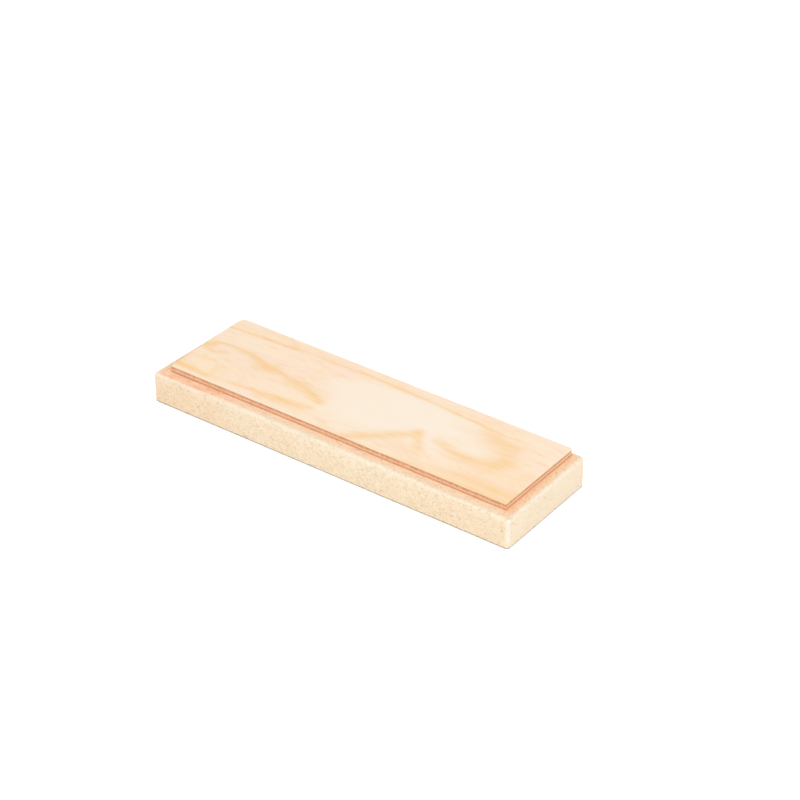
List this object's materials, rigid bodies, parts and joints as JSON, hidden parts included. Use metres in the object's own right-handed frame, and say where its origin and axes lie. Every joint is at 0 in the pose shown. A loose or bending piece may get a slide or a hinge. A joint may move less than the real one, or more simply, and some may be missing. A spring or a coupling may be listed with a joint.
{
  "type": "plywood-backed sponge pad",
  "caption": "Rectangular open-cell sponge block with a slightly smaller three-ply plywood board glued to its back, a replaceable washing pad for a sponge float.",
  "frame": {"origin": "centre of the sponge's working face, which the pad lies on", "axes": "+X along the pad's length, +Y to the side where the board stands closest to the sponge's edge, +Z out of the board's outer face"},
  "size_m": [0.3499, 0.1054, 0.0336],
  "materials": {
    "sponge_foam": "matte",
    "adhesive": "satin",
    "face_wood": "satin",
    "core_wood": "matte",
    "glue_line": "matte"
  },
  "bodies": {
    "root": {"sponge_block": "sponge_foam", "pad_adhesive": "adhesive", "back_veneer": "face_wood", "lower_glue_line": "glue_line", "core_veneer": "core_wood", "upper_glue_line": "glue_line", "face_veneer": "face_wood"}
  },
  "joints": []
}
